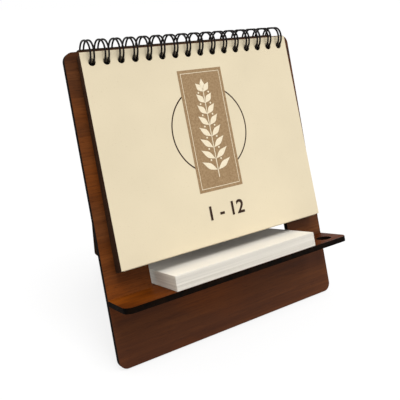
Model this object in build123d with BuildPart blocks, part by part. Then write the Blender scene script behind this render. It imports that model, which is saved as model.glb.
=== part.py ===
from build123d import *
import math
import os

# A desk calendar on a leaning wooden board. A twin-loop wire along the board's top carries the
# leaves in front and a thinner board that hangs behind. A shelf for loose notes plugs through a
# window in the board, and its tongue reaches down to the table as the rear foot.
# Millimetres, +Z up, the front towards -Y. The origin is under the middle of the whole outline.
# Board coordinates: x to the right, v up the front face from its lower edge, n out of that face.

os.makedirs("parts", exist_ok=True)

# Front board
LEAN = 19.0                 # degrees back from the vertical
BOARD_W = 153.0
BOARD_H = 168.0
BOARD_T = 3.0
BOARD_CORNER = 5.0

# Note shelf: a ledge in front of the board and a tongue through the board's window
SHELF_V = 37.5              # its upper face, up the board
SHELF_T = 3.0
LEDGE_D = 22.0              # in front of the board
LEDGE_CORNER = 4.5
SHOULDER_PLAY = 0.1         # the ledge's shoulders to the board's face
TONGUE_END_W = 78.0         # the tongue narrows to this at its foot
TONGUE_CORNER = 3.0
TONGUE_SIDE_PLAY = 0.25     # to each side wall of the window
SLOT_PLAY = 0.15            # under the tongue, in the window
WINDOW_W = 100.0
WINDOW_RISE = 19.0          # the window's top above the shelf

# Pen hole in the ledge's right end
PEN_D = 9.0
PEN_FROM_END = 11.0         # its middle to the ledge's right end
PEN_FROM_FRONT = 9.0        # its middle to the ledge's front edge

# Loose notes
NOTE_W = 96.5
NOTE_D = 96.5
NOTE_H = 8.0
NOTE_SEAT = 0.1             # above the shelf
NOTE_SIDE_PLAY = 0.3        # to the window's right wall
NOTE_SETBACK = 0.2          # from the ledge's front edge

# Twin-loop wire: a row of double wires bent round one circle
PITCH = 25.4 / 3            # three loops to the inch
LOOPS = 16
WIRE_D = 0.9                # a square section, to keep its facets few
TWIN = 2.4                  # between the two wires of a loop
RING_R = 7.2                # to the wire's middle
RING_BELOW_TOP = 1.4        # its centre below the board's top edge
RING_OUT = 0.5              # its centre in front of the board's face
SEAM_FROM = 224.0           # where the arcs end, in degrees from the front over the top
SEAM_TO = 249.0             # where the tips turn
LINK_BEND = 1.0
WIRE_SEAT = 0.15            # between the wire and a hole's edge that it bears on
BOARD_HOLE = 4.4            # square, in both boards

# Back board
BACK_W = 135.0
BACK_SHORTER = 50.0         # than the front board, so that it clears the shelf's tongue
BACK_T = 1.5
BACK_CORNER = 2.5
BACK_HOLE_EDGE = 4.7        # from a hole to its top edge
BACK_PLAY = 1.0             # to the front board's rear top edge, so that a leaf's top passes

# Leaves: one cover and twelve months
LEAF_W = 139.0
LEAF_SHORTER = 54.0         # than the front board, so that its foot clears the notes
LEAF_T = 0.3
LEAF_HOLE = 4.0
LEAF_HOLE_EDGE = 4.7        # from a hole to the leaf's top edge
LEAF_PLAY = 0.3             # between the board and the last leaf
LEAF_STEP = 0.37            # from leaf to leaf at the wire
MONTHS = 12
FAN = 1.6                   # degrees that the cover's foot stands out from the board

# Sizes that follow
tilt = math.radians(LEAN)
shelf_under = SHELF_V - SHELF_T
tongue_end = BOARD_T + shelf_under / math.tan(tilt)      # meets the table level with the board
tongue_w = WINDOW_W - 2 * TONGUE_SIDE_PLAY
notes_back = NOTE_D + NOTE_SETBACK - LEDGE_D             # behind the board's face
wire_r = WIRE_D / 2
ring_v = BOARD_H - RING_BELOW_TOP
back_h = BOARD_H - BACK_SHORTER
leaf_h = BOARD_H - LEAF_SHORTER
half_twin = TWIN / 2
loops_x = [(index - (LOOPS - 1) / 2) * PITCH for index in range(LOOPS)]

# The object stands on the board's rear lower edge and on the tongue's rear lower edge. It reaches
# from the ledge's lower front edge to the tongue's upper rear edge.
front_y = shelf_under * math.sin(tilt) - LEDGE_D * math.cos(tilt)
rear_y = SHELF_V * math.sin(tilt) + tongue_end * math.cos(tilt)
shift_y = -(front_y + rear_y) / 2
shift_z = BOARD_T * math.sin(tilt)


def spot(x, v, n):
    """The point x across, v up the board and n in front of its face."""
    y = v * math.sin(tilt) - n * math.cos(tilt) + shift_y
    z = v * math.cos(tilt) + n * math.sin(tilt) + shift_z
    return (x, y, z)


def face_plane(v, n, back=0.0):
    """A plane along the board, leaning back more than the board does by an angle in degrees."""
    angle = math.radians(LEAN + back)
    return Plane(origin=spot(0, v, n), x_dir=(1, 0, 0), z_dir=(0, -math.cos(angle), math.sin(angle)))


def shelf_plane(v):
    """A plane square to the board: its y runs backwards and it extrudes up the board."""
    return Plane(origin=spot(0, v, 0), x_dir=(1, 0, 0), z_dir=(0, math.sin(tilt), math.cos(tilt)))


def ring_point(x, angle, along=0.0):
    """A point on the wire's circle, or off it along its tangent towards growing angles."""
    turned = math.radians(angle)
    n = RING_OUT + RING_R * math.cos(turned) - along * math.sin(turned)
    v = ring_v + RING_R * math.sin(turned) + along * math.cos(turned)
    return spot(x, v, n)


# Front board. The wire bears on the lower edges of its holes.
board_hole_v = ring_v - RING_R - wire_r - WIRE_SEAT + BOARD_HOLE / 2
window_low = shelf_under - SLOT_PLAY
window_high = SHELF_V + WINDOW_RISE

with BuildPart() as front_board:
    with BuildSketch(face_plane(0, -BOARD_T)):
        with Locations((0, BOARD_H / 2)):
            RectangleRounded(BOARD_W, BOARD_H, BOARD_CORNER)
        with Locations((0, (window_low + window_high) / 2)):
            Rectangle(WINDOW_W, window_high - window_low, mode=Mode.SUBTRACT)
        with Locations([(x, board_hole_v) for x in loops_x]):
            Rectangle(BOARD_HOLE, BOARD_HOLE, mode=Mode.SUBTRACT)
    extrude(amount=BOARD_T)
front_board.part.label = "front_board"
export_step(front_board.part, "parts/front_board.step")

# Note shelf
with BuildPart() as note_shelf:
    with BuildSketch(shelf_plane(shelf_under)) as shelf_outline:
        with BuildLine():
            Polyline(
                (-BOARD_W / 2, -SHOULDER_PLAY),
                (-BOARD_W / 2, -LEDGE_D),
                (BOARD_W / 2, -LEDGE_D),
                (BOARD_W / 2, -SHOULDER_PLAY),
                (tongue_w / 2, -SHOULDER_PLAY),
                (tongue_w / 2, notes_back),
                (TONGUE_END_W / 2, tongue_end),
                (-TONGUE_END_W / 2, tongue_end),
                (-tongue_w / 2, notes_back),
                (-tongue_w / 2, -SHOULDER_PLAY),
                close=True,
            )
        make_face()
        fillet(shelf_outline.vertices().group_by(Axis.Y)[0], LEDGE_CORNER)
        fillet(shelf_outline.vertices().group_by(Axis.Y)[-1], TONGUE_CORNER)
        with Locations((BOARD_W / 2 - PEN_FROM_END, PEN_FROM_FRONT - LEDGE_D)):
            Circle(PEN_D / 2, mode=Mode.SUBTRACT)
    extrude(amount=SHELF_T)
note_shelf.part.label = "note_shelf"
export_step(note_shelf.part, "parts/note_shelf.step")

# Loose notes, pushed to the window's right wall
with BuildPart() as note_block:
    with BuildSketch(shelf_plane(SHELF_V + NOTE_SEAT)):
        with Locations((WINDOW_W / 2 - NOTE_SIDE_PLAY - NOTE_W / 2, notes_back - NOTE_D / 2)):
            Rectangle(NOTE_W, NOTE_D)
    extrude(amount=NOTE_H)
note_block.part.label = "note_block"
export_step(note_block.part, "parts/note_block.step")

# Binding wire. Each loop goes down over the top on its left wire, turns in a tip that has passed
# through both boards' holes, and comes back on its right wire. Short links join loop to loop.
sweep_angle = 360 - (SEAM_TO - SEAM_FROM)
link_end = half_twin + LINK_BEND
bend_mid = LINK_BEND * math.sqrt(0.5)

with BuildPart() as binding_wire:
    with BuildLine() as wire_path:
        for index, x in enumerate(loops_x):
            for side in (-half_twin, half_twin):
                turns = [SEAM_FROM - sweep_angle * quarter / 4 for quarter in range(5)]
                if side > 0:
                    turns.reverse()
                    ThreePointArc(
                        ring_point(x - half_twin, SEAM_TO),
                        ring_point(x, SEAM_TO, -half_twin),
                        ring_point(x + half_twin, SEAM_TO),
                    )
                arc = [ring_point(x + side, angle) for angle in turns]
                ThreePointArc(arc[0], arc[1], arc[2])
                ThreePointArc(arc[2], arc[3], arc[4])
            if index + 1 < LOOPS:
                next_x = loops_x[index + 1]
                ThreePointArc(
                    ring_point(x + half_twin, SEAM_FROM),
                    ring_point(x + link_end - bend_mid, SEAM_FROM, bend_mid),
                    ring_point(x + link_end, SEAM_FROM, LINK_BEND),
                )
                Line(
                    ring_point(x + link_end, SEAM_FROM, LINK_BEND),
                    ring_point(next_x - link_end, SEAM_FROM, LINK_BEND),
                )
                ThreePointArc(
                    ring_point(next_x - link_end, SEAM_FROM, LINK_BEND),
                    ring_point(next_x - link_end + bend_mid, SEAM_FROM, bend_mid),
                    ring_point(next_x - half_twin, SEAM_FROM),
                )
    wire_line = wire_path.wire()
    with BuildSketch(Plane(origin=wire_line @ 0, z_dir=wire_line % 0)):
        Rectangle(WIRE_D, WIRE_D)
    sweep(path=wire_line)
binding_wire.part.label = "binding_wire"
export_step(binding_wire.part, "parts/binding_wire.step")

# The least gap from the wire to itself, on points half a millimetre apart
point_step = 0.5
point_count = int(wire_line.length / point_step)
points = [wire_line.position_at(index / point_count) for index in range(point_count + 1)]
near = int(2.5 / point_step)
far = int(230 / point_step)
least = min(
    (points[index] - points[other]).length
    for index in range(len(points))
    for other in range(index + near, min(index + far, len(points)))
)
print("least gap of the wire to itself:", round(least - WIRE_D, 2), "mm")

# Back board. It hangs plumb from the wire by its holes' upper edges: its middle is straight under
# the ring's centre. That centre is back_off in front of its middle plane, and hole_top above them.
back_tilt = LEAN
for _ in range(20):
    turned = math.radians(back_tilt)
    edge_off = (RING_OUT + BOARD_T) * math.cos(turned) + RING_BELOW_TOP * math.sin(turned)
    back_off = edge_off + BACK_PLAY + BACK_T / 2
    wire_level = math.sqrt(RING_R**2 - (back_off + BACK_T / 2) ** 2)
    hole_top = wire_level - wire_r * RING_R / wire_level - WIRE_SEAT
    balance = hole_top - BACK_HOLE_EDGE + back_h / 2
    back_tilt = LEAN - math.degrees(math.atan2(back_off, balance))
turned = math.radians(back_tilt)
back_v = ring_v + back_off * math.sin(turned) - hole_top * math.cos(turned)
back_n = RING_OUT - back_off * math.cos(turned) - hole_top * math.sin(turned)

with BuildPart() as back_board:
    with BuildSketch(face_plane(back_v, back_n, -back_tilt)):
        with Locations((0, BACK_HOLE_EDGE - back_h / 2)):
            RectangleRounded(BACK_W, back_h, BACK_CORNER)
        with Locations([(x, -BOARD_HOLE / 2) for x in loops_x]):
            Rectangle(BOARD_HOLE, BOARD_HOLE, mode=Mode.SUBTRACT)
    extrude(amount=BACK_T / 2, both=True)
back_board.part.label = "back_board"
export_step(back_board.part, "parts/back_board.step")

# Leaves, the last month nearest to the board and the cover in front. Each hangs on the wire by the
# upper edges of its square holes.
for place in range(MONTHS + 1):
    name = f"month_leaf_{MONTHS - place:02d}" if place < MONTHS else "front_cover"
    leaf_n = LEAF_PLAY + LEAF_T / 2 + place * LEAF_STEP
    wire_fall = math.sqrt(RING_R**2 - (leaf_n - RING_OUT) ** 2)
    slope = math.asin((leaf_n - RING_OUT) / RING_R)
    hole_top = (wire_r + LEAF_T / 2 * abs(math.sin(slope))) / math.cos(slope) + WIRE_SEAT
    leaf_top = hole_top + LEAF_HOLE_EDGE
    with BuildPart() as leaf:
        with BuildSketch(face_plane(ring_v - wire_fall, leaf_n, FAN * place / MONTHS)):
            with Locations((0, leaf_top - leaf_h / 2)):
                Rectangle(LEAF_W, leaf_h)
            with Locations([(x, hole_top - LEAF_HOLE / 2) for x in loops_x]):
                Rectangle(LEAF_HOLE, LEAF_HOLE, mode=Mode.SUBTRACT)
        extrude(amount=LEAF_T / 2, both=True)
    leaf.part.label = name
    export_step(leaf.part, f"parts/{name}.step")
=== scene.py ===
import math
import random

import bmesh
import bpy
from mathutils import Matrix, Vector


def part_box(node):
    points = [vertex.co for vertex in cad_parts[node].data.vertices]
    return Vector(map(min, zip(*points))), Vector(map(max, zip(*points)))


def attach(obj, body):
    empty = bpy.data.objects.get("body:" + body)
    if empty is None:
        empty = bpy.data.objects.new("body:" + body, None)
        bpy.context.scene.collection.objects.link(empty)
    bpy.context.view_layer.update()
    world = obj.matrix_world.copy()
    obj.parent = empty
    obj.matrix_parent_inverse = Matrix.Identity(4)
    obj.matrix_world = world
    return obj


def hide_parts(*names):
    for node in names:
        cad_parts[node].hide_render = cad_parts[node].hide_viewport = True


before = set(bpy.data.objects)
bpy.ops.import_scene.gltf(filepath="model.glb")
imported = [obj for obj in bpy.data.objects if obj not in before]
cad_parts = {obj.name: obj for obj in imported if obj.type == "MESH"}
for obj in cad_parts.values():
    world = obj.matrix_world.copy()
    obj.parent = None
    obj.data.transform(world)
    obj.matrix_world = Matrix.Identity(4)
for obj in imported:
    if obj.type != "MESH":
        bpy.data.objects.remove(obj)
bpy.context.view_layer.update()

# The board's own directions, in the calendar's frame, in metres. Across is X, up runs up the
# board's front face from its lower edge, and out leaves that face.
LEAN = math.radians(19.0)
UP = Vector((0, math.sin(LEAN), math.cos(LEAN)))
OUT = Vector((0, -math.cos(LEAN), math.sin(LEAN)))
BOARD_FOOT = Vector((0, -0.050106, 0.000977))

# Wire binding
PITCH = 0.0254 / 3          # three loops to the inch
LOOPS = 16
WIRE_R = 0.00053
HALF_TWIN = 0.00105         # half the way between a loop's two wires
RING_R = 0.0072             # to the wire's middle
RING_UP = 0.1666
RING_OUT = 0.0005
SEAM_FROM = 224.0           # where the arcs end, in degrees from the front over the top
SEAM_TO = 249.0             # where the tips turn
LINK_BEND = 0.001
CRIMP_AT = 75.0             # where the loops are pressed flatter, and over how many degrees
CRIMP_SPAN = 26.0
CRIMP_LEFT = 0.06           # how far they are pressed in there, as a share of their radius
CRIMP_RIGHT = 0.14
ARC_STEPS = 40
TIP_STEPS = 8
BEND_STEPS = 5

# Leaves
MONTHS = 12
SHEET_T = 0.0003
LEAF_W = 0.139
LEAF_H = 0.114
PUNCH_R = 0.0021
PUNCH_DOWN = 0.0055         # a hole's middle below the leaf's top edge
PUNCH_POINTS = 24
FULL_CURL = 0.0005          # how far the cover's lower corners stand out
CURL_CUTS_ACROSS = (0.024, 0.036, 0.045, 0.052, 0.058, 0.064)
CURL_CUT_STEP = 0.010
SHADED_RIM_FROM = 0.0678          # a month leaf's rim carries painted shade from here outwards, left and right
SHADED_RIM_FULLY = 0.0681
INK_LIFT = 0.00003          # from the leaf to its first ink, and from each ink to the next

# Notes
SHELF_UP = 0.0375
NOTE_SEAT = 0.0001
NOTE_H = 0.008
NOTE_FRONT = 0.0218
NOTE_BACK = -0.0747
SHEAVES = 46
SHEAF_SHARE = 0.97          # of a sheaf's room that it fills
SHEAF_PLAY = 0.00009        # how far a sheaf may lie out of line
SHEAF_SEED = 4

# Printing
COVER_MIDDLE = (0.001, 0.064)
PANEL_W, PANEL_H = 0.030, 0.070
BORDER_W, BORDER_H = 0.0265, 0.0665
CIRCLE_R, CIRCLE_INNER_R = 0.0256, 0.0248
SPRIG_H = 0.052
SPRIG_DROP = 0.002          # the sprig's middle below the panel's
SPRIG_PAIRS = 8
STEM_W = 0.0005
PETAL_LENGTH, PETAL_W = 0.0115, 0.0034
TIP_PETAL_LENGTH, TIP_PETAL_W = 0.0065, 0.003
BEAD_R = 0.00055
BEAD_ACROSS, BEAD_UP = 0.0034, 0.0062
FINE_LINE = 0.0003
COVER_NUMBERS_SIZE, COVER_NUMBERS_UP = 0.011, 0.0165
DAY_SIZE = 0.0058
COLUMN_STEP = 0.018
ROW_STEP = 0.0115
LEFT_COLUMN = -0.054
TOP_ROW = 0.073
RULE_W, RULE_UP = 0.122, 0.0815
HEADING_SIZE, HEADING_UP = 0.013, 0.0905


def on_board(x, up, out):
    """A point given across, up and out of the front board's face."""
    return BOARD_FOOT + Vector((x, 0, 0)) + UP * up + OUT * out


def srgb(red, green, blue):
    """A linear colour from one written as it looks, 0 to 255."""
    return tuple(
        part / 12.92 if part <= 0.04045 else ((part + 0.055) / 1.055) ** 2.4
        for part in (red / 255, green / 255, blue / 255)
    )


# Finishes ---------------------------------------------------------------------------------------


class Finish:
    """A material whose nodes are added one after another."""

    def __init__(self, name, roughness=0.6, specular=0.5):
        self.material = bpy.data.materials.new(name)
        self.material.use_nodes = True
        self.tree = self.material.node_tree
        self.shader = self.tree.nodes["Principled BSDF"]
        self.shader.inputs["Roughness"].default_value = roughness
        self.shader.inputs["Specular IOR Level"].default_value = specular

    def put(self, socket, value):
        if isinstance(value, bpy.types.NodeSocket):
            self.tree.links.new(value, socket)
        else:
            socket.default_value = value

    def math(self, operation, first, second=0.0, clamp=False):
        node = self.tree.nodes.new("ShaderNodeMath")
        node.operation = operation
        node.use_clamp = clamp
        self.put(node.inputs[0], first)
        self.put(node.inputs[1], second)
        return node.outputs[0]

    def dot(self, vector, direction):
        node = self.tree.nodes.new("ShaderNodeVectorMath")
        node.operation = "DOT_PRODUCT"
        self.put(node.inputs[0], vector)
        node.inputs[1].default_value = direction
        return node.outputs["Value"]

    def place(self):
        return self.tree.nodes.new("ShaderNodeTexCoord").outputs["Object"]

    def normal(self):
        return self.tree.nodes.new("ShaderNodeTexCoord").outputs["Normal"]

    def along_board(self, scale=(1, 1, 1), start=(0, 0, 0)):
        """Object coordinates turned to across, up and out of the board."""
        turn = self.tree.nodes.new("ShaderNodeMapping")
        self.put(turn.inputs["Vector"], self.place())
        turn.inputs["Rotation"].default_value = (LEAN - math.pi / 2, 0, 0)
        stretch = self.tree.nodes.new("ShaderNodeMapping")
        self.put(stretch.inputs["Vector"], turn.outputs[0])
        stretch.inputs["Scale"].default_value = scale
        stretch.inputs["Location"].default_value = start
        return stretch.outputs[0]

    def noise(self, vector, detail=4.0, roughness=0.55, distortion=0.0):
        node = self.tree.nodes.new("ShaderNodeTexNoise")
        self.put(node.inputs["Vector"], vector)
        node.inputs["Scale"].default_value = 1.0
        node.inputs["Detail"].default_value = detail
        node.inputs["Roughness"].default_value = roughness
        node.inputs["Distortion"].default_value = distortion
        return node.outputs["Fac"]

    def ramp(self, factor, stops):
        node = self.tree.nodes.new("ShaderNodeValToRGB")
        self.put(node.inputs["Fac"], factor)
        elements = node.color_ramp.elements
        while len(elements) < len(stops):
            elements.new(0.5)
        for element, (position, colour) in zip(elements, stops):
            element.position = position
            element.color = (*colour, 1)
        return node.outputs["Color"]

    def mix(self, factor, first, second):
        node = self.tree.nodes.new("ShaderNodeMix")
        node.data_type = "RGBA"
        self.put(node.inputs["Factor"], factor)
        for socket, value in ((node.inputs[6], first), (node.inputs[7], second)):
            self.put(socket, value if isinstance(value, bpy.types.NodeSocket) else (*value, 1))
        return node.outputs[2]

    def span(self, value, low, high, to_low=0.0, to_high=1.0):
        node = self.tree.nodes.new("ShaderNodeMapRange")
        self.put(node.inputs["Value"], value)
        node.inputs["From Min"].default_value = low
        node.inputs["From Max"].default_value = high
        node.inputs["To Min"].default_value = to_low
        node.inputs["To Max"].default_value = to_high
        return node.outputs[0]

    def bump(self, height, distance, strength=1.0):
        node = self.tree.nodes.new("ShaderNodeBump")
        node.inputs["Strength"].default_value = strength
        node.inputs["Distance"].default_value = distance
        self.put(node.inputs["Height"], height)
        self.put(self.shader.inputs["Normal"], node.outputs[0])

    def roughness(self, value):
        self.put(self.shader.inputs["Roughness"], value)

    def colour(self, value):
        self.put(self.shader.inputs["Base Color"], value)
        return self.material


def veneer(name, face_direction, shades, amber, amber_share, start, shade_below_ledge=None):
    """Oiled wood veneer with its grain across, and edges scorched by the cutter.

    A board may take a painted shade below the ledge: a darker, cooler tone in place of the ledge's
    shadow.
    """
    finish = Finish(name, 0.5, 0.06)
    figure = finish.noise(finish.along_board((5, 62, 62), (start, start, 0)), 3, 0.5, 0.9)
    streaks = finish.noise(finish.along_board((9, 240, 240), (0, start * 3, 0)), 4, 0.62, 0.25)
    fibre = finish.noise(finish.along_board((26, 1300, 1300), (start, 0, 0)), 3, 0.7)
    tone = finish.math(
        "ADD", finish.math("MULTIPLY", figure, 0.55), finish.math("MULTIPLY", streaks, 0.45)
    )
    dark, middle, light = shades
    wood = finish.ramp(tone, [(0.33, dark), (0.5, middle), (0.7, light)])
    patch = finish.noise(finish.along_board((13, 30, 30), (start * 2, 0.7, 0)), 2, 0.5, 0.4)
    wood = finish.mix(finish.span(patch, 0.46, 0.68, 0.0, amber_share), wood, amber)
    wood = finish.mix(finish.span(fibre, 0.42, 0.74, 0.0, 0.5), wood, dark)
    pores = finish.span(
        finish.noise(finish.along_board((150, 3000, 3000)), 2, 0.6), 0.6, 0.68
    )
    wood = finish.mix(finish.math("MULTIPLY", pores, 0.55), wood, srgb(24, 13, 7))
    # painted shade: below the ledge the wood turns part way to a darker, cooler tone
    if shade_below_ledge:
        rise = finish.dot(finish.place(), UP)
        ledge = (BOARD_FOOT + UP * SHELF_UP).dot(UP)
        wood = finish.mix(finish.span(rise, ledge, ledge - 0.004, 0.0, 0.42), wood, shade_below_ledge)
    facing = finish.math("ABSOLUTE", finish.dot(finish.normal(), face_direction))
    cut = finish.span(facing, 0.9, 0.5)
    soot = finish.noise(finish.along_board((260, 260, 260)), 3, 0.6)
    scorched = finish.ramp(soot, [(0.35, srgb(3, 1, 0)), (0.75, srgb(22, 11, 4))])
    finish.bump(finish.math("SUBTRACT", fibre, pores), 0.00005, 0.45)
    sheen = finish.span(streaks, 0.3, 0.7, 0.46, 0.6)
    finish.roughness(finish.math("ADD", sheen, finish.math("MULTIPLY", cut, 0.4), clamp=True))
    return finish.colour(finish.mix(cut, wood, scorched))


def leaf_card(name, light_tone, edge_shade=None):
    """Cream card with a soft mottle and a fine tooth. Its rim and cut edges may carry a dark brown
    painted shade, in place of the shade along the stack's side and in its holes.
    """
    finish = Finish(name, 0.68, 0.2)
    mottle = finish.noise(finish.along_board((22, 22, 22)), 3, 0.5)
    deeper = tuple(part * 0.93 for part in light_tone)
    cream = finish.ramp(mottle, [(0.3, deeper), (0.7, light_tone)])
    fleck = finish.noise(finish.along_board((1400, 1400, 1400)), 2, 0.5)
    cream = finish.mix(finish.span(fleck, 0.66, 0.74, 0.0, 0.3), cream, srgb(196, 176, 140))
    finish.bump(finish.noise(finish.along_board((2600, 2600, 2600)), 2, 0.5), 0.00001, 0.3)
    # painted shade: the rim and the cut edges, hole walls too, turn dark brown where the stack's
    # side and its holes lie in shade
    if edge_shade:
        across = finish.math("ABSOLUTE", finish.dot(finish.place(), (1, 0, 0)))
        rim = finish.span(across, SHADED_RIM_FROM, SHADED_RIM_FULLY)
        facing = finish.math("ABSOLUTE", finish.dot(finish.normal(), OUT))
        painted_edge_shade = finish.math("MAXIMUM", rim, finish.span(facing, 0.9, 0.6))
        streak = finish.noise(finish.along_board((4, 60, 5000)), 2, 0.5)
        paler = tuple(part * 1.8 for part in edge_shade)
        edges = finish.ramp(streak, [(0.35, edge_shade), (0.65, paler)])
        cream = finish.mix(painted_edge_shade, cream, edges)
    return finish.colour(cream)


def note_paper():
    """White note paper. The stack's sides show faint bands where its sheets' edges show, and a
    painted shade makes them darker than the top.
    """
    finish = Finish("note_paper", 0.8, 0.2)
    sheets = finish.noise(finish.along_board((10, 7000, 10)), 2, 0.5)
    bands = finish.noise(finish.along_board((6, 900, 6)), 2, 0.5)
    shade = finish.math(
        "ADD", finish.math("MULTIPLY", sheets, 0.4), finish.math("MULTIPLY", bands, 0.6)
    )
    # the bands are the sheets' edges; the sides' darker tone against the top is painted shade
    side = finish.ramp(shade, [(0.35, srgb(208, 203, 193)), (0.62, srgb(234, 229, 219))])
    top = finish.ramp(
        finish.noise(finish.along_board((40, 40, 40)), 3, 0.5),
        [(0.3, srgb(232, 227, 216)), (0.7, srgb(239, 234, 224))],
    )
    facing = finish.math("ABSOLUTE", finish.dot(finish.normal(), UP))
    finish.bump(finish.noise(finish.along_board((1800, 1800, 1800)), 2, 0.5), 0.00001, 0.25)
    return finish.colour(finish.mix(finish.span(facing, 0.5, 0.9), side, top))


def coated_wire():
    """Nylon-coated steel wire, nearly black, with a soft sheen."""
    finish = Finish("coated_wire", 0.5, 0.12)
    grain = finish.noise(finish.along_board((900, 900, 900)), 2, 0.5)
    finish.bump(grain, 0.00001, 0.3)
    return finish.colour(finish.ramp(grain, [(0.3, srgb(7, 3, 2)), (0.7, srgb(17, 9, 7))]))


def ink(name, deep, pale, scale=900):
    """Matt printing ink that lies a little unevenly on the card."""
    finish = Finish(name, 0.7, 0.15)
    spread = finish.noise(finish.along_board((scale, scale, scale)), 3, 0.65)
    finish.bump(spread, 0.000006, 0.3)
    return finish.colour(finish.ramp(spread, [(0.36, deep), (0.66, pale)]))


walnut_shades = (srgb(56, 29, 15), srgb(92, 53, 28), srgb(124, 74, 39))
russet_shades = (srgb(52, 21, 2), srgb(84, 37, 4), srgb(116, 59, 9))
umber_shades = (srgb(48, 36, 27), srgb(72, 56, 43), srgb(92, 74, 58))
cream = srgb(233, 219, 188)

# The walnut's last colour is painted shade for the board below the ledge.
board_veneer = veneer(
    "walnut_veneer", OUT, walnut_shades, srgb(134, 70, 22), 0.7, 0.37, srgb(76, 44, 33)
)
shelf_veneer = veneer("russet_veneer", UP, russet_shades, srgb(150, 78, 18), 0.6, 0.4)
back_veneer = veneer("umber_veneer", OUT, umber_shades, srgb(88, 66, 46), 0.4, 0.9)
cover_card = leaf_card("cover_card", cream)
# The month leaves' last colour is painted shade for their rims and cut edges.
month_card = leaf_card("month_card", cream, srgb(48, 27, 12))
paper = note_paper()
black_wire = coated_wire()
tan_ink = ink("tan_ink", srgb(150, 122, 88), srgb(172, 144, 108))
dark_ink = ink("dark_ink", srgb(44, 28, 18), srgb(62, 42, 30))
pale_ink = ink("pale_ink", srgb(240, 224, 192), srgb(248, 236, 210))


def finish_node(name, material):
    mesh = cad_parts[name].data
    mesh.materials.clear()
    mesh.materials.append(material)


finish_node("front_board", board_veneer)
finish_node("note_shelf", shelf_veneer)
finish_node("back_board", back_veneer)
for node_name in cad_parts:
    if node_name.startswith("month_leaf"):
        finish_node(node_name, month_card)
finish_node("front_cover", cover_card)
finish_node("note_block", paper)
finish_node("binding_wire", black_wire)


# Making pieces ----------------------------------------------------------------------------------


def piece_from(mesh, name, material, body, node=None):
    """A finished piece at the origin that rides on a body and may stand for a node."""
    mesh.name = name
    piece = bpy.data.objects.new(name, mesh)
    bpy.context.scene.collection.objects.link(piece)
    mesh.materials.clear()
    mesh.materials.append(material)
    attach(piece, body)
    if node:
        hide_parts(node)
    return piece


def mesh_of(data):
    """The mesh that a curve or a text makes."""
    shape = bpy.data.objects.new(data.name, data)
    bpy.context.scene.collection.objects.link(shape)
    bpy.context.view_layer.update()
    evaluated = shape.evaluated_get(bpy.context.evaluated_depsgraph_get())
    mesh = bpy.data.meshes.new_from_object(evaluated)
    bpy.data.objects.remove(shape)
    return mesh


def mesh_from(shape):
    mesh = bpy.data.meshes.new("shape")
    shape.to_mesh(mesh)
    shape.free()
    return mesh


def box_outline(width, height, middle=(0, 0)):
    return [
        (middle[0] + across * width / 2, middle[1] + up * height / 2)
        for across, up in ((-1, -1), (1, -1), (1, 1), (-1, 1))
    ]


def round_outline(radius, middle=(0, 0), points=28):
    return [
        (middle[0] + radius * math.cos(turn), middle[1] + radius * math.sin(turn))
        for turn in (2 * math.pi * step / points for step in range(points))
    ]


def cut_out(outlines, thickness=0.0):
    """A flat shape within its first outline, with the other outlines as its holes."""
    curve = bpy.data.curves.new("outline", "CURVE")
    curve.dimensions = "2D"
    curve.fill_mode = "BOTH"
    curve.extrude = thickness / 2
    for outline in outlines:
        spline = curve.splines.new("POLY")
        spline.points.add(len(outline) - 1)
        for target, (x, y) in zip(spline.points, outline):
            target.co = (x, y, 0, 1)
        spline.use_cyclic_u = True
    shape = bmesh.new()
    shape.from_mesh(mesh_of(curve))
    bmesh.ops.remove_doubles(shape, verts=shape.verts[:], dist=1e-7)
    return shape


# Binding wire -----------------------------------------------------------------------------------


def ring_point(x, angle, along=0.0):
    """A point on a loop, or off it along its tangent towards growing angles."""
    turned = math.radians(angle)
    share = (x / PITCH + LOOPS / 2) / LOOPS
    depth = CRIMP_LEFT + (CRIMP_RIGHT - CRIMP_LEFT) * share
    radius = RING_R * (1 - depth * math.exp(-(((angle - CRIMP_AT) / CRIMP_SPAN) ** 2)))
    out = radius * math.cos(turned) - along * math.sin(turned)
    up = radius * math.sin(turned) + along * math.cos(turned)
    return on_board(x, RING_UP + up, RING_OUT + out)


def wire_line():
    """The wire's middle line: each loop's arc, its tip, its arc back, and the link to the next."""
    turn = 360 - (SEAM_TO - SEAM_FROM)
    arc = [SEAM_FROM - turn * step / ARC_STEPS for step in range(ARC_STEPS + 1)]
    link = HALF_TWIN + LINK_BEND
    bend = [math.pi / 2 * step / BEND_STEPS for step in range(1, BEND_STEPS + 1)]
    points = []
    for loop in range(LOOPS):
        x = (loop - (LOOPS - 1) / 2) * PITCH
        points += [ring_point(x - HALF_TWIN, angle) for angle in arc]
        for step in range(1, TIP_STEPS):
            tip = math.pi * step / TIP_STEPS
            points.append(
                ring_point(x - HALF_TWIN * math.cos(tip), SEAM_TO, -HALF_TWIN * math.sin(tip))
            )
        points += [ring_point(x + HALF_TWIN, angle) for angle in reversed(arc)]
        if loop + 1 < LOOPS:
            for near, side, corners in ((x, 1, bend), (x + PITCH, -1, bend[::-1])):
                points += [
                    ring_point(
                        near + side * (link - LINK_BEND * math.cos(corner)),
                        SEAM_FROM,
                        LINK_BEND * math.sin(corner),
                    )
                    for corner in corners
                ]
    return points


def make_wire():
    curve = bpy.data.curves.new("wire", "CURVE")
    curve.dimensions = "3D"
    curve.bevel_depth = WIRE_R
    curve.bevel_resolution = 2
    curve.use_fill_caps = True
    points = wire_line()
    spline = curve.splines.new("POLY")
    spline.points.add(len(points) - 1)
    for target, point in zip(spline.points, points):
        target.co = (*point, 1)
    mesh = mesh_of(curve)
    for face in mesh.polygons:
        face.use_smooth = True
    piece_from(mesh, "round_wire", black_wire, "board", "binding_wire")


# Loose notes ------------------------------------------------------------------------------------


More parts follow.
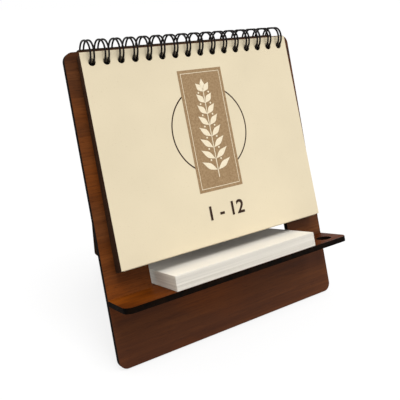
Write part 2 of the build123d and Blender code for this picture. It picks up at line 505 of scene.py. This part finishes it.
def make_notes():
    """The notes as thin sheaves that lie almost in line."""
    low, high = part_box("note_block")
    nudge = random.Random(SHEAF_SEED)
    sheaf = NOTE_H / SHEAVES
    shape = bmesh.new()
    for layer in range(SHEAVES):
        across = nudge.uniform(-SHEAF_PLAY, SHEAF_PLAY)
        inward = nudge.uniform(-SHEAF_PLAY, SHEAF_PLAY)
        middle = on_board(
            (low[0] + high[0]) / 2 + across,
            SHELF_UP + NOTE_SEAT + sheaf * (layer + 0.5),
            (NOTE_FRONT + NOTE_BACK) / 2 + inward,
        )
        made = bmesh.ops.create_cube(shape, size=1.0)
        width = high[0] - low[0] - 2 * SHEAF_PLAY
        depth = NOTE_FRONT - NOTE_BACK - 2 * SHEAF_PLAY
        size = Matrix.Diagonal((width, depth, sheaf * SHEAF_SHARE, 1))
        place = Matrix.Translation(middle) @ Matrix.Rotation(-LEAN, 4, "X")
        bmesh.ops.transform(shape, matrix=place @ size, verts=made["verts"])
    piece_from(mesh_from(shape), "note_sheets", paper, "notes", "note_block")


# Leaves -----------------------------------------------------------------------------------------


def leaf_place(node):
    """Where a leaf's front face is: x across, y up from the middle of its foot, z out."""
    corners = [Vector(vertex.co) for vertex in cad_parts[node].data.vertices]
    by_height = sorted(corners, key=lambda point: point.dot(UP))
    rise = by_height[-1].dot(UP) - by_height[0].dot(UP)
    ends = []
    for end in (by_height[0], by_height[-1]):
        level = [point for point in corners if abs((point - end).dot(UP)) < rise * 0.003]
        ends.append(max(level, key=lambda point: point.dot(OUT)))
    foot, top = ends
    up = Vector((0, top.y - foot.y, top.z - foot.z)).normalized()
    out = Vector((0, -up.z, up.y))
    axes = Matrix(((1, up.x, out.x), (0, up.y, out.y), (0, up.z, out.z))).to_4x4()
    return Matrix.Translation((0, foot.y, foot.z)) @ axes


def curl(point, strength):
    """How far a leaf's lower corners stand out."""
    side = min(1.0, abs(point.x) / (LEAF_W / 2)) ** 3
    low = max(0.0, 1 - point.y / LEAF_H) ** 2
    return strength * side * low


def lay_on_leaf(shape, place, strength, lift=0.0):
    for vertex in shape.verts:
        vertex.co.z += lift + curl(vertex.co, strength)
    bmesh.ops.transform(shape, matrix=place, verts=shape.verts[:])
    return shape


def sheet_shape():
    """A leaf's outline with its row of round holes, cut into strips that let it curl."""
    holes = [
        round_outline(
            PUNCH_R,
            ((loop - (LOOPS - 1) / 2) * PITCH, LEAF_H / 2 - PUNCH_DOWN),
            PUNCH_POINTS,
        )
        for loop in range(LOOPS)
    ]
    shape = cut_out([box_outline(LEAF_W, LEAF_H)] + holes, SHEET_T)
    bmesh.ops.translate(shape, vec=(0, LEAF_H / 2, -SHEET_T / 2), verts=shape.verts[:])
    upright = [side * at for at in CURL_CUTS_ACROSS for side in (-1, 1)]
    level = [CURL_CUT_STEP * step for step in range(1, 10)]
    cuts = [((at, 0, 0), (1, 0, 0)) for at in upright] + [((0, at, 0), (0, 1, 0)) for at in level]
    for spot, direction in cuts:
        bmesh.ops.bisect_plane(
            shape,
            geom=shape.verts[:] + shape.edges[:] + shape.faces[:],
            plane_co=spot,
            plane_no=direction,
        )
    bmesh.ops.triangulate(shape, faces=shape.faces[:])
    return shape


def make_sheet(plain_sheet, node, name, material, body, strength):
    shape = bmesh.new()
    shape.from_mesh(plain_sheet)
    lay_on_leaf(shape, leaf_place(node), strength)
    piece_from(mesh_from(shape), name, material, body, node)


# Printing ---------------------------------------------------------------------------------------


def moved(shape, x, y, turn=0.0, verts=None):
    place = Matrix.Translation((x, y, 0)) @ Matrix.Rotation(turn, 4, "Z")
    bmesh.ops.transform(shape, matrix=place, verts=verts or shape.verts[:])
    return shape


def number_shape(words, size):
    text = bpy.data.curves.new("number", "FONT")
    text.body = str(words)
    text.size = size
    text.resolution_u = 3
    text.offset = size * 0.02
    text.align_x = "CENTER"
    text.align_y = "CENTER"
    shape = bmesh.new()
    shape.from_mesh(mesh_of(text))
    return shape


def frame_shape(width, height, line):
    return cut_out([box_outline(width, height), box_outline(width - 2 * line, height - 2 * line)])


def petal(shape, root, angle, length, width):
    """One pointed petal that starts at its root."""
    made = bmesh.ops.create_circle(shape, cap_ends=True, segments=24, radius=1.0)
    for vertex in made["verts"]:
        vertex.co.y *= (1 - abs(vertex.co.x) ** 1.6) * (1 - 0.25 * vertex.co.x)
    size = Matrix.Diagonal((length / 2, width / 2, 1, 1))
    reach = Matrix.Translation((length / 2, 0, 0))
    place = Matrix.Translation((*root, 0)) @ Matrix.Rotation(angle, 4, "Z")
    bmesh.ops.transform(shape, matrix=place @ reach @ size, verts=made["verts"])


def sprig_shape(height):
    """A stem with pairs of petals that grow smaller towards its tip."""
    shape = cut_out([box_outline(STEM_W, height)])
    for pair in range(SPRIG_PAIRS):
        share = pair / SPRIG_PAIRS
        up = height * (share - 0.42)
        for side in (-1, 1):
            angle = math.radians(90 - side * (58 - 22 * share))
            length = PETAL_LENGTH * (1 - 0.45 * share)
            petal(shape, (side * 0.0002, up), angle, length, PETAL_W)
            if pair + 1 < SPRIG_PAIRS:
                bead = bmesh.ops.create_circle(shape, cap_ends=True, segments=12, radius=BEAD_R)
                moved(shape, side * BEAD_ACROSS, up + BEAD_UP, verts=bead["verts"])
    petal(shape, (0, height / 2 - 0.001), math.pi / 2, TIP_PETAL_LENGTH, TIP_PETAL_W)
    return shape


def print_on(node, body, parts, strength):
    """Lays flat shapes on a leaf's face, each as a piece of its own ink."""
    place = leaf_place(node)
    for layer, (shape, name, material) in enumerate(parts, 1):
        lay_on_leaf(shape, place, strength, INK_LIFT * layer)
        piece_from(mesh_from(shape), name, material, body)


def cover_print():
    """A leafy sprig on a panel that covers a circle, and the numbers 1 - 12 below them."""
    x, y = COVER_MIDDLE
    circle = cut_out(
        [round_outline(CIRCLE_R, points=96), round_outline(CIRCLE_INNER_R, points=96)]
    )
    panel = cut_out([box_outline(PANEL_W, PANEL_H)])
    border = frame_shape(BORDER_W, BORDER_H, FINE_LINE)
    numbers = number_shape("1 - 12", COVER_NUMBERS_SIZE)
    return [
        (moved(circle, x, y), "cover_circle", dark_ink),
        (moved(panel, x, y), "cover_panel", tan_ink),
        (moved(border, x, y), "cover_border", pale_ink),
        (moved(sprig_shape(SPRIG_H), x, y - SPRIG_DROP), "cover_sprig", pale_ink),
        (moved(numbers, x, COVER_NUMBERS_UP), "cover_numbers", dark_ink),
    ]


def month_print(month, numbers, first_column):
    """A month's day numbers in seven columns, with a rule and its own number above."""
    days = 30 + (month + month // 8) % 2 if month != 2 else 28
    grid = bmesh.new()
    for day in range(1, days + 1):
        place = first_column + day - 1
        across = LEFT_COLUMN + COLUMN_STEP * (place % 7)
        up = TOP_ROW - ROW_STEP * (place // 7)
        known = set(grid.verts)
        grid.from_mesh(numbers[day])
        moved(grid, across, up, verts=[vertex for vertex in grid.verts if vertex not in known])
    rule = cut_out([box_outline(RULE_W, FINE_LINE, (0, RULE_UP))])
    heading = moved(number_shape(month, HEADING_SIZE), LEFT_COLUMN, HEADING_UP)
    return (
        [
            (grid, f"month_days_{month:02d}", dark_ink),
            (rule, f"month_rule_{month:02d}", tan_ink),
            (heading, f"month_number_{month:02d}", tan_ink),
        ],
        (first_column + days) % 7,
    )


def make_leaves():
    plain_sheet = mesh_from(sheet_shape())
    make_sheet(plain_sheet, "front_cover", "cover_sheet", cover_card, "cover", FULL_CURL)
    print_on("front_cover", "cover", cover_print(), FULL_CURL)
    numbers = {day: mesh_from(number_shape(day, DAY_SIZE)) for day in range(1, 32)}
    first_column = 0
    for month in range(1, MONTHS + 1):
        node, body = f"month_leaf_{month:02d}", f"leaf_{month:02d}"
        strength = FULL_CURL * (1 - month / (MONTHS + 1))
        make_sheet(plain_sheet, node, f"month_sheet_{month:02d}", month_card, body, strength)
        parts, first_column = month_print(month, numbers, first_column)
        print_on(node, body, parts, strength)


make_wire()
make_notes()
make_leaves()


# Stage, light and camera ------------------------------------------------------------------------

WHITE = (1.0, 1.0, 1.0)
WARM = (1.0, 0.86, 0.72)
SKY_LIGHT = 0.56
SUN_LIGHT = 1.85
SUN_ANGLE = 32.0            # degrees across, for broad soft shadows
SUN_TOWARDS = Vector((0.04, 0, 0)) + UP * 0.72 + OUT * 0.56
FLOOR_SIZE = 6.0
FLOOR_BOUNCE = 0.3          # what the floor throws back at the calendar
FLOOR_SHADE = 0.95          # what the camera sees of it, where a shadow falls
FLOOR_GLOW = 0.8            # how much of that is even white
FILLS = (                   # name, place, watts, side, colour
    ("right_fill", (0.45, -0.35, 0.28), 0.75, 0.4, WHITE),
    ("left_fill", (-0.55, -0.25, 0.2), 0.34, 0.4, WARM),
    ("rear_fill", (-0.5, 0.4, 0.35), 0.7, 0.35, WHITE),
)
FILLS_LOOK_AT = Vector((0, 0, 0.08))
CAMERA_LENS = 46.1336
CAMERA_SHIFT = (0.15, -0.1061)
CAMERA_PLACE = (-0.168426, -0.249661, 0.189544)
CAMERA_TURN = (71.9237, 1.3472, -28.4858)


def seen_apart(tree, plain, seen):
    """Gives the camera and reflections one shader, and all other rays the plain one."""
    nodes, links = tree.nodes, tree.links
    path = nodes.new("ShaderNodeLightPath")
    by_eye = path.outputs["Is Camera Ray"]
    for other in ("Is Glossy Ray", "Is Transmission Ray"):
        either = nodes.new("ShaderNodeMath")
        either.operation = "MAXIMUM"
        links.new(by_eye, either.inputs[0])
        links.new(path.outputs[other], either.inputs[1])
        by_eye = either.outputs[0]
    mixed = nodes.new("ShaderNodeMixShader")
    links.new(by_eye, mixed.inputs["Fac"])
    links.new(plain.outputs[0], mixed.inputs[1])
    links.new(seen.outputs[0], mixed.inputs[2])
    output = next(node for node in nodes if node.bl_idname.startswith("ShaderNodeOutput"))
    links.new(mixed.outputs[0], output.inputs["Surface"])


def pale_floor():
    """A white floor that shows the calendar's shadow and throws little light back up."""
    shape = bmesh.new()
    bmesh.ops.create_grid(shape, x_segments=1, y_segments=1, size=FLOOR_SIZE)
    floor = bpy.data.objects.new("floor", mesh_from(shape))
    bpy.context.scene.collection.objects.link(floor)
    finish = Finish("pale_floor", 0.9, 0.0)
    finish.shader.inputs["Base Color"].default_value = (*[FLOOR_BOUNCE] * 3, 1)
    nodes, links = finish.tree.nodes, finish.tree.links
    shaded = nodes.new("ShaderNodeBsdfDiffuse")
    shaded.inputs["Color"].default_value = (*[FLOOR_SHADE] * 3, 1)
    glow = nodes.new("ShaderNodeEmission")
    seen = nodes.new("ShaderNodeMixShader")
    seen.inputs["Fac"].default_value = FLOOR_GLOW
    links.new(shaded.outputs[0], seen.inputs[1])
    links.new(glow.outputs[0], seen.inputs[2])
    seen_apart(finish.tree, finish.shader, seen)
    floor.data.materials.append(finish.material)


def white_world():
    world = bpy.data.worlds.new("studio")
    bpy.context.scene.world = world
    world.use_nodes = True
    sky = world.node_tree.nodes["Background"]
    sky.inputs["Color"].default_value = (*WHITE, 1)
    sky.inputs["Strength"].default_value = SKY_LIGHT
    white = world.node_tree.nodes.new("ShaderNodeBackground")
    white.inputs["Color"].default_value = (*WHITE, 1)
    seen_apart(world.node_tree, sky, white)


def window_light():
    """Broad soft daylight from the front and above."""
    lamp = bpy.data.lights.new("window_light", "SUN")
    lamp.energy = SUN_LIGHT
    lamp.angle = math.radians(SUN_ANGLE)
    holder = bpy.data.objects.new("window_light", lamp)
    bpy.context.scene.collection.objects.link(holder)
    holder.rotation_euler = SUN_TOWARDS.to_track_quat("Z", "Y").to_euler()


def area_lamp(name, spot, power, side, colour):
    lamp = bpy.data.lights.new(name, "AREA")
    lamp.energy = power
    lamp.size = side
    lamp.color = colour
    holder = bpy.data.objects.new(name, lamp)
    bpy.context.scene.collection.objects.link(holder)
    holder.location = spot
    towards = holder.location - FILLS_LOOK_AT
    holder.rotation_euler = towards.to_track_quat("Z", "Y").to_euler()


def desk_camera():
    camera = bpy.data.cameras.new("camera")
    camera.lens = CAMERA_LENS
    camera.shift_x, camera.shift_y = CAMERA_SHIFT
    camera.clip_start = 0.01
    holder = bpy.data.objects.new("camera", camera)
    bpy.context.scene.collection.objects.link(holder)
    holder.location = CAMERA_PLACE
    holder.rotation_euler = [math.radians(angle) for angle in CAMERA_TURN]
    bpy.context.scene.camera = holder


pale_floor()
white_world()
window_light()
for fill in FILLS:
    area_lamp(*fill)
desk_camera()
bpy.context.scene.view_settings.view_transform = "Standard"
